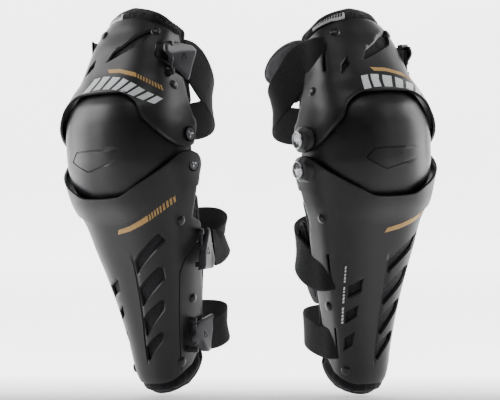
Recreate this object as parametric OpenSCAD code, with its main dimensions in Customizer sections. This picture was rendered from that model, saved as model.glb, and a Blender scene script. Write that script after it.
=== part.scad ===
// Pair of hinged knee and shin guards.
// Each guard has a thigh shell, a knee cup and a shin shell joined by two pivots a side,
// soft liners, three elastic straps and three swinging strap hooks.
// Inside a guard: +Z is up the leg, -Y is the front, +X is the side that carries the hooks.

/* [Pair] */
// Distance between the two guards, centre to centre
pair_gap = 263; // [255:1:320]
// How far the left guard is turned towards its left
left_turn = 38; // [20:1:40]
// How far the right guard is turned towards its right
right_turn = 30; // [20:1:40]
// Sideways lean of both guards
lean = 3; // [0:0.5:5]

/* [Shells] */
// Wall of the moulded shells
wall = 3; // [2.5:0.1:3.5]
// Wall of the liners
liner = 8; // [6:0.5:9]
// Facets across a shell
columns = 22; // [16:2:26]

/* [Knee pivots] */
// Height of the upper pivot above the toe of the shin liner
upper_z = 310; // [308:1:312]
// Height of the lower pivot above the toe of the shin liner
lower_z = 275; // [273:1:277]
// Radius of the pivot pins
pin_r = 4; // [3.5:0.1:4.5]
// Radial running clearance of the pins
pin_fit = 0.05; // [0.02:0.01:0.1]
// Radius of the shell ears
ear_r = 14.4; // [14:0.1:16]

/* [Straps and hooks] */
// Thickness of the webbing
webbing = 2.5; // [2:0.1:3]
// Radius of the hook hinge pins
hook_pin_r = 1.6; // [1.4:0.1:1.8]

/* [Hidden] */
// Heights are measured from the toe of the shin liner; the frame's origin is at mid knee.
knee_mid = (upper_z + lower_z) / 2;
upper_y = -6;
lower_y = -3;
ear_in = 80;
ear_out = 84;
cup_ear_in = 76;
cup_ear_out = 79;
washer_gap = 0.1;
hook_barrel_r = 3.4;
pin_head_r = 7.5;
cap_r = 11.7;
insert_gap = 0.6;
liner_gap = 1.9;
$fn = 48;

GUARDS = ["left", "right"];
PIECES = ["thigh_shell", "knee_cup", "shin_shell", "thigh_liner", "knee_pad", "shin_liner",
    "thigh_wing", "calf_wing", "thigh_strap", "calf_strap", "ankle_strap", "thigh_hook",
    "calf_hook", "ankle_hook", "thigh_hook_pin", "shin_hook_pins", "upper_hinge_cover",
    "lower_hinge_cover", "upper_cap_ring", "lower_cap_ring", "pivot_pins", "pivot_washers",
    "thigh_rivets", "shin_rivets", "thigh_vent_mesh", "shin_vent_mesh", "liner_label",
    "thigh_fasteners", "shin_fasteners"];

// Leg form of each shell: [height, half width, front y, side y, squareness].
thigh_form = [[296, 84, -88, 0, 2.7], [320, 83.5, -86, 0, 2.8], [341, 79, -81, 2, 3],
    [361, 72, -68, 5, 3.1], [380, 65, -50, 9, 3.3], [399, 61, -39, 13, 3.4],
    [418, 56, -30, 17, 3.4], [437, 51, -18, 21, 2.9], [446, 47, -13, 24, 2.5],
    [459, 44, -4, 27, 2.2], [467, 42, 2, 29, 2.1]];
cup_form = [[205, 53, -30, 4, 2.7], [212, 56, -41, 4, 2.7], [222, 61, -53, 3, 2.7],
    [235, 67, -63, 3, 2.7], [250, 73, -71, 2, 2.7], [265, 77, -76.5, 1, 2.7], [285, 79, -80, 1, 2.7],
    [305, 79, -80.5, 0, 2.7], [325, 78, -79, 0, 2.7], [345, 72, -73, 1, 2.7],
    [360, 64, -62, 2, 2.7], [372, 56, -49, 4, 2.7], [381, 47, -36, 6, 2.7]];
shin_form = [[0, 15, 15, 31, 2.1], [6, 23, 7, 30, 2.2], [13, 28, 1, 29, 2.3],
    [24, 33, -4, 27, 2.4], [63, 38, -11, 23, 2.7], [101, 44, -18, 18, 3], [140, 52, -28, 14, 3.3],
    [178, 61, -40, 10, 3.5], [207, 67, -51, 7, 3.4], [236, 76, -71, 4, 3], [260, 81, -80, 2, 2.8],
    [280, 84, -88, 1, 2.7], [300, 84, -90, 0, 2.7]];

// Edges of each shell: [angle from the front, height].
thigh_low = [[0, 364], [15, 363], [30, 356], [38, 348], [43, 334], [53, 321], [66, 307], [80, 297],
    [90, 295], [100, 312], [130, 312]];
thigh_high = [[0, 453], [20, 452], [40, 447], [60, 442], [80, 435], [90, 430], [130, 420]];
cup_low = [[0, 206], [35, 210], [60, 226], [75, 246], [90, 262], [130, 264]];
cup_high = [[0, 381], [30, 378], [55, 366], [75, 345], [90, 324], [130, 321]];
shin_high = [[0, 239], [10, 240], [26, 249], [45, 261], [65, 275], [79, 287], [86, 291], [130, 291]];
shin_low = [[0, 15], [30, 15.5], [50, 18], [76, 25], [90, 31], [110, 41], [130, 52]];
// How far round each side a shell reaches: [height, angle].
thigh_reach = [[295, 98], [330, 94], [350, 92], [380, 92], [400, 94], [430, 92]];
cup_reach = [[206, 62], [245, 78], [262, 92], [324, 92], [345, 76], [381, 56]];
shin_left_reach = [[14, 84], [45, 106], [100, 107], [190, 100], [220, 93], [291, 96]];
shin_right_reach = [[14, 90], [45, 122], [100, 124], [150, 118], [202, 111], [214, 94], [291, 96]];

thigh_liner_reach = [[346, 100], [390, 106], [430, 106], [450, 102]];

// Straps, each as the places of its right end, its left end and how far its middle stands back.
// Ends: [half width, y, z]. Middle: [swell to the right, swell to the left, depth, rise,
// squareness of the rise].
thigh_strap_path = [[64, 31, 401], [66, 16, 404], [8, 44, 60, -74, 0.7]];
calf_strap_path = [[59, 69, 174], [58, 24, 152], [14, 18, 34, 38, 0.9]];
ankle_strap_path = [[45, 74, 70], [41, 34, 66], [15, 15, 44, 22, 1]];
thigh_strap_w = 46;
calf_strap_w = 44;
ankle_strap_w = 38;

// Hooks: [pin x, pin y, pin z, plate height, plate length, turn]
thigh_hook_place = [67, -12, 401, 40, 40, 1];
calf_hook_place = [66.6, 27, 175, 46, 39, -6];
ankle_hook_place = [46, 30, 71, 42, 41, -2];

// Slanted vents across the front of the shin: [middle angle, height, length, width]
shin_vents = [[40, 178, 44, 9], [40, 147, 44, 14], [41, 116, 38, 13], [42, 82, 34, 11]];
side_vents = [[-52, 134, 15, 15], [-50, 108, 14, 15], [-48, 79, 12, 16]];
// Slots that the fixed ends of the straps go through: [angle, height, length]
thigh_strap_slot = [-78, 408, 40];
calf_strap_slot = [-82, 152, 42];
ankle_strap_slot = [-80, 66, 38];

function part_of(x, lo, hi) = (x - lo) / (hi - lo);
function column(form, k) = [for (row = form) [row[0], row[k]]];
function at(form, k, z) = lookup(z, column(form, k));
function signed_power(v, p) = sign(v) * pow(abs(v), p);

// A point on a leg form at an angle from the front and a height, inset by depth.
// Past 90 degrees the form runs back, one millimetre a degree, and turns in a little;
// flare spreads that part outwards.
function form_point(form, angle, z, depth, flare = 0) =
    let (half = at(form, 1, z) - depth, side = at(form, 3, z), front = side - at(form, 2, z) - depth,
        p = 2 / at(form, 4, z), back = max(0, abs(angle) - 90), turn = min(90, abs(angle)))
    [sign(angle) * (half * pow(sin(turn), p) + flare * back - back * back * 0.0022),
        side + back - front * pow(cos(turn), p), z];

// A closed shell between two depths under a leg form, over a grid of angles and heights.
module form_shell(form, low, high, left_reach, right_reach, out, in, across, up, flare = 0) {
    z_side_low = lookup(90, low);
    z_side_high = lookup(90, high);
    function grid_angle(i, j) = let (z = z_side_low + (z_side_high - z_side_low) * j / up)
        -lookup(z, left_reach) + (lookup(z, right_reach) + lookup(z, left_reach)) * i / across;
    function grid_point(i, j, depth) = let (angle = grid_angle(i, j), z0 = lookup(abs(angle), low),
        z1 = lookup(abs(angle), high)) form_point(form, angle, z0 + (z1 - z0) * j / up, depth, flare);
    row = across + 1;
    sheet = row * (up + 1);
    points = [for (depth = [out, in]) for (j = [0:up]) for (i = [0:across]) grid_point(i, j, depth)];
    faces = [
        for (j = [0:up - 1]) for (i = [0:across - 1]) for (f = [0, 1])
            let (a = j * row + i, b = a + 1, c = a + row + 1, d = a + row)
            f == 0 ? [a, d, c, b] : [a + sheet, b + sheet, c + sheet, d + sheet],
        for (i = [0:across - 1]) for (f = [0, 1])
            let (a = f * up * row + i, b = a + 1)
            f == 0 ? [a, b, b + sheet, a + sheet] : [b, a, a + sheet, b + sheet],
        for (j = [0:up - 1]) for (f = [0, 1])
            let (a = j * row + f * across, b = a + row)
            f == 0 ? [b, a, a + sheet, b + sheet] : [a, b, b + sheet, a + sheet]
    ];
    polyhedron(points, faces, convexity = 6);
}

// A flat band that goes round the back of the leg from the right side to the left.
module band(path, width) {
    steps = 26;
    thick = webbing;
    back = path[2];
    function middle(t) = let (a = 180 * t, line = path[0] + (path[1] - path[0]) * t,
        swell = a < 90 ? back[0] : back[1])
        [(line[0] + swell * sin(a)) * signed_power(cos(a), 0.6),
            line[1] + back[2] * pow(sin(a), 0.8), line[2] + back[3] * pow(sin(a), back[4])];
    function outward(t) = let (d = middle(min(1, t + 0.01)) - middle(max(0, t - 0.01)),
        n = norm([d[0], d[1]])) [d[1] / n, -d[0] / n, 0];
    points = [for (k = [0:steps]) let (t = k / steps, m = middle(t), o = outward(t) * thick / 2,
        w = [0, 0, width / 2]) each [m - o - w, m + o - w, m + o + w, m - o + w]];
    faces = [
        [0, 1, 2, 3],
        [for (c = [3, 2, 1, 0]) steps * 4 + c],
        for (k = [0:steps - 1]) for (c = [0:3])
            let (d = (c + 1) % 4) [k * 4 + c, k * 4 + 4 + c, k * 4 + 4 + d, k * 4 + d]
    ];
    polyhedron(points, faces, convexity = 6);
}

// Puts children on a form's surface, with their +Z along the surface's outward direction.
module on_form(form, angle, z, depth = 0) {
    here = form_point(form, angle, z, depth);
    ahead = form_point(form, angle + sign(angle + 0.01) * 2, z, depth) - here;
    heading = atan2(ahead[1], ahead[0]) - (angle >= 0 ? 90 : -90);
    translate(here) rotate([0, 90, heading]) children();
}

// A disc or cylinder along X, on the side where side is 1 or -1, between two distances out.
module side_disc(side, y, z, r, near, far) {
    translate([side > 0 ? near : -far, y, z]) rotate([0, 90, 0]) cylinder(r = r, h = far - near);
}

module slanted_cut(form, vent) {
    on_form(form, vent[0], vent[1]) rotate([0, 0, sign(vent[0]) * 38])
        translate([-vent[3] / 2, -vent[2] / 2, -22]) cube([vent[3], vent[2], 44]);
}

module strap_slot(form, slot) {
    on_form(form, slot[0], slot[1]) translate([-slot[2] / 2, -2, -12]) cube([slot[2], 4, 24]);
}

// Lugs that carry a hook's hinge pin, above and below the hook's barrel.
module hook_lugs(form, place) {
    for (side = [-1, 1]) {
        z = place[2] + side * (place[3] / 2 - 3.5);
        root = place[0] - at(form, 1, z) + wall - 0.4;
        translate([place[0], place[1], z - 3]) union() {
            cylinder(r = hook_barrel_r, h = 6);
            translate([-root, -hook_barrel_r, 0]) cube([root, 2 * hook_barrel_r, 6]);
        }
    }
}

module hook_pin_hole(place) {
    translate([place[0], place[1], place[2] - place[3] / 2 - 1])
        cylinder(r = hook_pin_r + pin_fit, h = place[3] + 2);
}

module thigh_shell() {
    color([0.1, 0.1, 0.11]) difference() {
        union() {
            difference() {
                form_shell(thigh_form, thigh_low, thigh_high, thigh_reach, thigh_reach, 0, wall,
                    columns, 10);
                for (side = [-1, 1]) side_disc(side, upper_y, upper_z, ear_r, 60, ear_in);
            }
            for (side = [-1, 1]) side_disc(side, upper_y, upper_z, ear_r, ear_in, ear_out);
            hook_lugs(thigh_form, thigh_hook_place);
        }
        for (side = [-1, 1]) side_disc(side, upper_y, upper_z, pin_r + pin_fit, 60, 100);
        hook_pin_hole(thigh_hook_place);
        for (side = [-1, 1]) {
            on_form(thigh_form, side * 34, 424) rotate([0, 0, side * 30])
                translate([-6, -15, -14]) cube([12, 30, 30]);
            on_form(thigh_form, side * 66, 404) rotate([0, 0, side * 30])
                translate([-4, -7, -14]) cube([8, 14, 30]);
        }
        strap_slot(thigh_form, thigh_strap_slot);
    }
}

module knee_cup() {
    color([0.07, 0.07, 0.08]) difference() {
        union() {
            form_shell(cup_form, cup_low, cup_high, cup_reach, cup_reach, 0, wall, columns, 12);
            for (side = [-1, 1]) {
                side_disc(side, upper_y, upper_z, ear_r - 2, cup_ear_in, cup_ear_out);
                side_disc(side, lower_y, lower_z, ear_r - 2, cup_ear_in, cup_ear_out);
            }
        }
        for (side = [-1, 1]) {
            side_disc(side, upper_y, upper_z, pin_head_r + 0.6, 60, cup_ear_in);
            side_disc(side, lower_y, lower_z, pin_head_r + 0.6, 60, cup_ear_in);
            side_disc(side, upper_y, upper_z, pin_r + pin_fit, 60, 100);
            side_disc(side, lower_y, lower_z, pin_r + pin_fit, 60, 100);
        }
    }
}

module shin_shell() {
    color([0.1, 0.1, 0.11]) difference() {
        union() {
            difference() {
                form_shell(shin_form, shin_low, shin_high, shin_left_reach, shin_right_reach, 0,
                    wall, columns, 16);
                for (side = [-1, 1]) side_disc(side, lower_y, lower_z, ear_r, 60, ear_in);
            }
            for (side = [-1, 1]) side_disc(side, lower_y, lower_z, ear_r, ear_in, ear_out);
            hook_lugs(shin_form, calf_hook_place);
            hook_lugs(shin_form, ankle_hook_place);
        }
        for (side = [-1, 1]) side_disc(side, lower_y, lower_z, pin_r + pin_fit, 60, 100);
        hook_pin_hole(calf_hook_place);
        hook_pin_hole(ankle_hook_place);
        for (vent = shin_vents) slanted_cut(shin_form, vent);
        for (vent = side_vents) slanted_cut(shin_form, vent);
        strap_slot(shin_form, calf_strap_slot);
        strap_slot(shin_form, ankle_strap_slot);
    }
}

module thigh_liner() {
    color([0.16, 0.14, 0.17]) form_shell(thigh_form,
        [[0, 396], [45, 388], [80, 356], [90, 350], [130, 346]],
        [[0, 465], [27, 461], [50, 456], [75, 448], [92, 441], [105, 433], [130, 420]],
        thigh_liner_reach, thigh_liner_reach,
        wall + liner_gap, wall + liner, 24, 8);
}

module knee_pad() {
    color([0.16, 0.14, 0.17]) form_shell(cup_form,
        [[0, 222], [35, 226], [60, 240], [90, 262]], [[0, 362], [30, 360], [55, 350], [90, 330]],
        [[262, 66], [330, 66]], [[262, 66], [330, 66]],
        wall + liner_gap, wall + liner, 22, 12);
}

module shin_liner() {
    color([0.16, 0.14, 0.17]) form_shell(shin_form,
        [[0, 1], [40, 2], [70, 5], [90, 9], [105, 14], [123, 24], [135, 44]],
        [[0, 198], [40, 202], [70, 222], [90, 232], [130, 236]],
        [[9, 100], [24, 122], [50, 126], [92, 120], [112, 117], [232, 104]],
        [[9, 100], [24, 124], [50, 132], [140, 130], [190, 118], [232, 104]],
        wall + liner_gap, wall + liner, 24, 14);
}

// Fabric wing that carries a liner further round one side of the leg.
module wing(form, side, low, high, near, far, deep, flare) {
    mirror([side < 0 ? 1 : 0, 0, 0]) form_shell(form, low, high, [[0, -near], [500, -near]], far, deep,
        deep + 4, 10, 6, flare);
}

module thigh_wing() {
    color([0.2, 0.17, 0.21]) wing(thigh_form, -1,
        [[106, 360], [124, 364], [138, 384], [160, 390], [190, 394]],
        [[106, 434], [130, 432], [155, 425], [175, 414], [190, 404]], 106,
        [[350, 188], [450, 188]], wall + 6, 0.3);
}

module calf_wing() {
    color([0.2, 0.17, 0.21]) wing(shin_form, -1, [[90, 112], [121, 116], [165, 135]],
        [[90, 214], [121, 214], [165, 190]], 121, [[110, 134], [155, 158], [214, 135]], wall + 2, 0);
}

module strap_hook(place) {
    h = place[3];
    length = place[4];
    translate([place[0], place[1], place[2]]) rotate([0, 0, -place[5]]) difference() {
        union() {
            translate([0, 0, -h / 2 + 7]) cylinder(r = hook_barrel_r, h = h - 14);
            rotate([90, 0, 90]) translate([0, 0, -2]) linear_extrude(3)
                polygon([[0, -h / 2 + 7], [5, -h / 2 + 7], [length - 8, -h / 2], [length, -h / 2 + 3],
                    [length, h / 2 - 9], [length - 12, h / 2], [4, h / 2 - 7], [0, h / 2 - 7]]);
            rotate([90, 0, 90]) translate([0, 0, 1]) linear_extrude(1.4)
                polygon([[6, -h / 2 + 9], [length - 13, -h / 2 + 5], [length - 13, h / 2 - 7],
                    [6, h / 2 - 10]]);
        }
        translate([0, 0, -h / 2]) cylinder(r = hook_pin_r + pin_fit, h = h);
        translate([-3, length - 8, -h / 2 + 6]) cube([6, 4, h - 16]);
    }
}

module hook_pin(place) {
    color([0.5, 0.5, 0.52]) translate([place[0], place[1], place[2] - place[3] / 2])
        cylinder(r = hook_pin_r, h = place[3]);
}

// D-shaped cover on the ear of a shell, recessed over the head of the pivot pin.
module hinge_cover(y, z) {
    color([0.16, 0.16, 0.17]) difference() {
        union() {
            side_disc(-1, y, z, ear_r - 0.4, ear_out + 0.1, ear_out + 5);
            translate([-ear_out - 5, 0, 0]) rotate([90, 0, 90]) linear_extrude(4.9)
                polygon([[y, z + ear_r - 0.4], [y - 20, z + ear_r - 0.4], [y - 33, z - 2],
                    [y - 20, z - ear_r + 0.4], [y, z - ear_r + 0.4]]);
        }
        side_disc(-1, y, z, 8, ear_out, ear_out + 3);
        side_disc(-1, y, z, cap_r + 0.1, ear_out + 4, ear_out + 6);
    }
}

// Silver ring and hub pressed into a hinge cover.
module cap_ring(y, z) {
    color([0.7, 0.7, 0.72]) difference() {
        side_disc(-1, y, z, cap_r, ear_out + 4, ear_out + 6.2);
        side_disc(-1, y, z, cap_r - 2, ear_out + 5.2, ear_out + 7);
    }
}

module pivot_pin(side, y, z) {
    side_disc(side, y, z, pin_r, cup_ear_in - 2.5, ear_out + 2);
    side_disc(side, y, z, pin_head_r, cup_ear_in - 2.5, cup_ear_in - washer_gap);
    side_disc(side, y, z, pin_head_r, ear_out + washer_gap, ear_out + 2);
}

module pivot_pins() {
    color([0.3, 0.3, 0.32]) for (side = [-1, 1]) {
        pivot_pin(side, upper_y, upper_z);
        pivot_pin(side, lower_y, lower_z);
    }
}

module pivot_washers() {
    color([0.6, 0.6, 0.6]) for (side = [-1, 1]) for (pivot = [[upper_y, upper_z], [lower_y, lower_z]])
        difference() {
            side_disc(side, pivot[0], pivot[1], 8, cup_ear_out + washer_gap, ear_in - washer_gap);
            side_disc(side, pivot[0], pivot[1], pin_r + pin_fit, 60, 100);
        }
}

module rivet(form, angle, z) {
    color([0.05, 0.05, 0.05]) on_form(form, angle, z) union() {
        translate([0, 0, 0.2 - wall]) cylinder(r = 2, h = wall);
        intersection() {
            translate([0, 0, -5.4]) sphere(r = 8);
            translate([-5, -5, 0.2]) cube([10, 10, 3]);
        }
    }
}

module thigh_rivets() {
    for (angle = [-47, 47]) rivet(thigh_form, angle, 436);
    for (angle = [-86, 80]) rivet(thigh_form, angle, 366);
}

module shin_rivets() {
    for (angle = [-86, 84]) rivet(shin_form, angle, 212);
    for (angle = [-84, 98]) rivet(shin_form, angle, 112);
    for (angle = [-44, 44]) rivet(shin_form, angle, 36);
}

// Perforated insert behind the vents.
module vent_mesh(form, low, high, reach, across, up) {
    color([0.03, 0.03, 0.03]) form_shell(form, low, high, reach, reach, wall + insert_gap,
        wall + 2 * insert_gap, across, up);
}

module thigh_vent_mesh() {
    vent_mesh(thigh_form, [[0, 402], [40, 400], [90, 392]], [[0, 440], [40, 438], [90, 414]],
        [[392, 62], [414, 62]], 20, 4);
}

module shin_vent_mesh() {
    vent_mesh(shin_form, [[0, 60], [90, 64]], [[0, 196], [90, 200]], [[64, 64], [200, 64]], 20, 9);
}

// Printed patch sewn on the inside roll of the thigh liner.
module liner_label() {
    color([0.8, 0.8, 0.8]) form_shell(thigh_form, [[0, 455], [40, 451], [60, 447], [90, 438]],
        [[0, 462], [40, 458], [60, 454], [90, 444]], [[430, 80], [470, 80]], [[430, -14], [470, -14]],
        wall + 0.2, wall + 0.9, 16, 4);
}

// Hook and loop patches that hold a liner in its shell, on the side where side is 1 or -1.
module fastener_patch(form, side, angle, z) {
    near = side * angle - 5;
    color([0.1, 0.1, 0.1]) form_shell(form, [[0, z - 8], [180, z - 8]], [[0, z + 8], [180, z + 8]],
        [[0, -near], [500, -near]], [[0, near + 10], [500, near + 10]], wall + insert_gap,
        wall + 2 * insert_gap, 4, 2);
}

module thigh_fasteners() {
    for (side = [-1, 1]) fastener_patch(thigh_form, side, 86, 388);
}

module shin_fasteners() {
    for (side = [-1, 1]) for (z = [96, 176]) fastener_patch(shin_form, side, 88, z);
}

module piece(name) {
    if (name == "thigh_shell") thigh_shell();
    if (name == "knee_cup") knee_cup();
    if (name == "shin_shell") shin_shell();
    if (name == "thigh_liner") thigh_liner();
    if (name == "knee_pad") knee_pad();
    if (name == "shin_liner") shin_liner();
    if (name == "thigh_wing") thigh_wing();
    if (name == "calf_wing") calf_wing();
    if (name == "thigh_strap") color([0.13, 0.13, 0.13]) band(thigh_strap_path, thigh_strap_w);
    if (name == "calf_strap") color([0.13, 0.13, 0.13]) band(calf_strap_path, calf_strap_w);
    if (name == "ankle_strap") color([0.13, 0.13, 0.13]) band(ankle_strap_path, ankle_strap_w);
    if (name == "thigh_hook") color([0.35, 0.35, 0.37]) strap_hook(thigh_hook_place);
    if (name == "calf_hook") color([0.35, 0.35, 0.37]) strap_hook(calf_hook_place);
    if (name == "ankle_hook") color([0.35, 0.35, 0.37]) strap_hook(ankle_hook_place);
    if (name == "thigh_hook_pin") hook_pin(thigh_hook_place);
    if (name == "shin_hook_pins") for (place = [calf_hook_place, ankle_hook_place]) hook_pin(place);
    if (name == "upper_hinge_cover") hinge_cover(upper_y, upper_z);
    if (name == "lower_hinge_cover") hinge_cover(lower_y, lower_z);
    if (name == "upper_cap_ring") cap_ring(upper_y, upper_z);
    if (name == "lower_cap_ring") cap_ring(lower_y, lower_z);
    if (name == "pivot_pins") pivot_pins();
    if (name == "pivot_washers") pivot_washers();
    if (name == "thigh_rivets") thigh_rivets();
    if (name == "shin_rivets") shin_rivets();
    if (name == "thigh_vent_mesh") thigh_vent_mesh();
    if (name == "shin_vent_mesh") shin_vent_mesh();
    if (name == "liner_label") liner_label();
    if (name == "thigh_fasteners") thigh_fasteners();
    if (name == "shin_fasteners") shin_fasteners();
}

// Stands a guard in its place in the pair.
module place(guard) {
    side = guard == "left" ? -1 : 1;
    turn = guard == "left" ? -left_turn : right_turn;
    translate([side * pair_gap / 2, 0, 0]) rotate([0, -lean, 0]) rotate([0, 0, turn])
        translate([0, 0, -knee_mid]) children();
}

for (guard = GUARDS) for (name = PIECES)
    place(guard) piece(name);
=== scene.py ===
"""Looks of the pair of knee and shin guards, over the CAD frame.

Sizes are millimetres inside one guard, as in part.scad: heights above the toe of the shin liner,
-Y the front, +X the side of the hooks. Each piece is made once and stood in both guards.
"""

import math

import bpy
import numpy as np
from mathutils import Matrix, Vector
from mathutils.geometry import delaunay_2d_cdt


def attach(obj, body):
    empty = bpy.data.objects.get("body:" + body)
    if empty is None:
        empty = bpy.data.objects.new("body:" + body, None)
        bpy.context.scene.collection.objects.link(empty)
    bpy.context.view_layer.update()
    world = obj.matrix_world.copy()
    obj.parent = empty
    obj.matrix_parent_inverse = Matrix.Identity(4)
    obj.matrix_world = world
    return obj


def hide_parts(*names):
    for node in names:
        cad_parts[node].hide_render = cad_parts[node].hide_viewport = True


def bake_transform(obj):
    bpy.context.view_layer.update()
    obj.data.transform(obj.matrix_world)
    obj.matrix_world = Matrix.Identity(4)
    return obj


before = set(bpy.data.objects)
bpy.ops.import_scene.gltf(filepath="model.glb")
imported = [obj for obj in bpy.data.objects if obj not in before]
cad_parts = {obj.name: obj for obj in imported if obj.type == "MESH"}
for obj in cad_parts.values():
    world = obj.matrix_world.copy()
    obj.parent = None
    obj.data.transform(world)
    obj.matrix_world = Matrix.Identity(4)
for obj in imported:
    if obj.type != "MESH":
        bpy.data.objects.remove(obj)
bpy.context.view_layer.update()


# ---------- sizes shared with part.scad
PAIR_GAP, LEAN = 263, 3
TURN = {"left": -38, "right": 30}
WALL = 3.0
UPPER_Y, UPPER_Z, LOWER_Y, LOWER_Z = -6, 310, -3, 275
KNEE_MID = (UPPER_Z + LOWER_Z) / 2

THIGH = [[296, 84, -88, 0, 2.7], [320, 83.5, -86, 0, 2.8], [341, 79, -81, 2, 3],
         [361, 72, -68, 5, 3.1], [380, 65, -50, 9, 3.3], [399, 61, -39, 13, 3.4],
         [418, 56, -30, 17, 3.4], [437, 51, -18, 21, 2.9], [446, 47, -13, 24, 2.5],
         [459, 44, -4, 27, 2.2], [467, 42, 2, 29, 2.1]]
CUP = [[205, 53, -30, 4, 2.7], [212, 56, -41, 4, 2.7], [222, 61, -53, 3, 2.7],
       [235, 67, -63, 3, 2.7], [250, 73, -71, 2, 2.7], [265, 77, -76.5, 1, 2.7],
       [285, 79, -80, 1, 2.7], [305, 79, -80.5, 0, 2.7], [325, 78, -79, 0, 2.7],
       [345, 72, -73, 1, 2.7], [360, 64, -62, 2, 2.7], [372, 56, -49, 4, 2.7], [381, 47, -36, 6, 2.7]]
SHIN = [[0, 15, 15, 31, 2.1], [6, 23, 7, 30, 2.2], [13, 28, 1, 29, 2.3], [24, 33, -4, 27, 2.4],
        [63, 38, -11, 23, 2.7], [101, 44, -18, 18, 3], [140, 52, -28, 14, 3.3],
        [178, 61, -40, 10, 3.5], [207, 67, -51, 7, 3.4], [236, 76, -71, 4, 3],
        [260, 81, -80, 2, 2.8], [280, 84, -88, 1, 2.7], [300, 84, -90, 0, 2.7]]

# How fast a form closes in behind, and the reach of an area's relief beyond its sloping edge.
CURL, FAR = 0.0022, 200


# ---------- curves and plane outlines


def smooth(xs, ys, x):
    """A monotone cubic curve through the points (xs, ys)."""
    xs, ys = np.asarray(xs, float), np.asarray(ys, float)
    h = np.diff(xs)
    d = np.diff(ys) / h
    slope = np.concatenate([[d[0]], np.zeros(len(d) - 1), [d[-1]]])
    for i in np.nonzero(d[:-1] * d[1:] > 0)[0]:
        before, after = 2 * h[i + 1] + h[i], h[i + 1] + 2 * h[i]
        slope[i + 1] = (before + after) / (before / d[i] + after / d[i + 1])
    x = np.clip(x, xs[0], xs[-1])
    k = np.clip(np.searchsorted(xs, x) - 1, 0, len(h) - 1)
    t = (x - xs[k]) / h[k]
    rise = 3 * t**2 - 2 * t**3
    return (ys[k] * (1 - rise) + ys[k + 1] * rise
            + h[k] * (slope[k] * (t**3 - 2 * t**2 + t) + slope[k + 1] * (t**3 - t**2)))


def unit(v):
    return v / np.maximum(np.linalg.norm(v, axis=-1, keepdims=True), 1e-9)


class Form:
    """A leg form, measured round by u, the distance from the front at the height where it's scaled."""

    def __init__(self, rows, scale_z, flare=0.0):
        self.rows, self.flare = np.array(rows, float), flare
        self.turns = np.linspace(0, 192, 769)
        ring = self.point_at(self.turns, np.full(769, float(scale_z)))
        self.arc = np.concatenate([[0], np.cumsum(np.linalg.norm(np.diff(ring, axis=0), axis=1))])

    def point_at(self, angle, z):
        half, front_y, side, square = [smooth(self.rows[:, 0], self.rows[:, k], z) for k in (1, 2, 3, 4)]
        front, power = side - front_y, 2 / square
        back = np.maximum(0, np.abs(angle) - 90)
        turn = np.radians(np.minimum(90, np.abs(angle)))
        x = np.sign(angle) * (half * np.sin(turn) ** power + self.flare * back - back**2 * CURL)
        return np.stack([x, side + back - front * np.maximum(np.cos(turn), 0) ** power, z + 0 * x], -1)

    def angle(self, u):
        return np.sign(u) * np.interp(np.abs(u), self.arc, self.turns)

    def u(self, angle):
        return np.sign(angle) * np.interp(np.abs(angle), self.turns, self.arc)

    def u_of_x(self, x, z):
        """Where on the front half a point stands x to the side at height z."""
        half = smooth(self.rows[:, 0], self.rows[:, 1], z)
        power = smooth(self.rows[:, 0], self.rows[:, 4], z) / 2
        return self.u(np.sign(x) * np.degrees(np.arcsin(np.clip(np.abs(x) / half, 0, 1) ** power)))

    def point(self, uz, out=0.0):
        """Places of (u, z) points, out of the form by out."""
        uz = np.asarray(uz, float)
        out = np.broadcast_to(out, len(uz))
        return self.point_at(self.angle(uz[:, 0]), uz[:, 1]) + self.normal(uz) * out[:, None]

    def normal(self, uz):
        step = np.array([[0.6, 0], [0, 0.6]])
        at = lambda p: self.point_at(self.angle(p[:, 0]), p[:, 1])
        across = at(uz + step[0]) - at(uz - step[0])
        up = at(uz + step[1]) - at(uz - step[1])
        return unit(np.cross(across, up))

    def front(self, *points):
        """(u, z) of points given as (x, z) on the front."""
        return np.array([[float(self.u_of_x(x, z)), z] for x, z in points])

    def round(self, *points):
        """(u, z) of points given as (angle, z)."""
        return np.array([[float(self.u(a)), z] for a, z in points])


def resample(points, closed, step):
    points = np.asarray(points, float)
    ends = np.vstack([points, points[:1]]) if closed else points
    out = []
    for a, b in zip(ends[:-1], ends[1:]):
        count = max(1, math.ceil(np.linalg.norm(b - a) / step))
        out += [a + (b - a) * i / count for i in range(count)]
    return np.array(out if closed else out + [ends[-1]])


def fillet(points, radius, closed=True):
    """Rounds an outline's corners."""
    points = np.asarray(points, float)
    out = []
    for i, p in enumerate(points):
        if not closed and i in (0, len(points) - 1):
            out.append(p)
            continue
        before, after = points[i - 1] - p, points[(i + 1) % len(points)] - p
        a = p + before * min(0.45, radius / np.linalg.norm(before))
        b = p + after * min(0.45, radius / np.linalg.norm(after))
        out += [a * (1 - t) ** 2 + p * 2 * t * (1 - t) + b * t * t for t in (0, 0.25, 0.5, 0.75, 1)]
    return np.array(out)


def anticlockwise(points):
    x, y = points[:, 0], points[:, 1]
    return points if np.sum(x * np.roll(y, -1) - y * np.roll(x, -1)) > 0 else points[::-1]


def loop_of(outline, step):
    """An outline's points in even steps, anticlockwise."""
    return resample(anticlockwise(outline), True, step)


def offset(points, distance, closed=True):
    """Moves a line to its left by distance, which is inwards for an anticlockwise outline."""
    if closed:
        before, after = np.roll(points, 1, axis=0), np.roll(points, -1, axis=0)
    else:
        before = np.vstack([2 * points[0] - points[1], points[:-1]])
        after = np.vstack([points[1:], 2 * points[-1] - points[-2]])
    first, second = unit(points - before), unit(after - points)
    along = unit(first + second)
    left = np.stack([-along[:, 1], along[:, 0]], -1)
    mitre = np.maximum(0.5, left[:, 0] * -first[:, 1] + left[:, 1] * first[:, 0])
    return points + left * (distance / mitre)[:, None]


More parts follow.
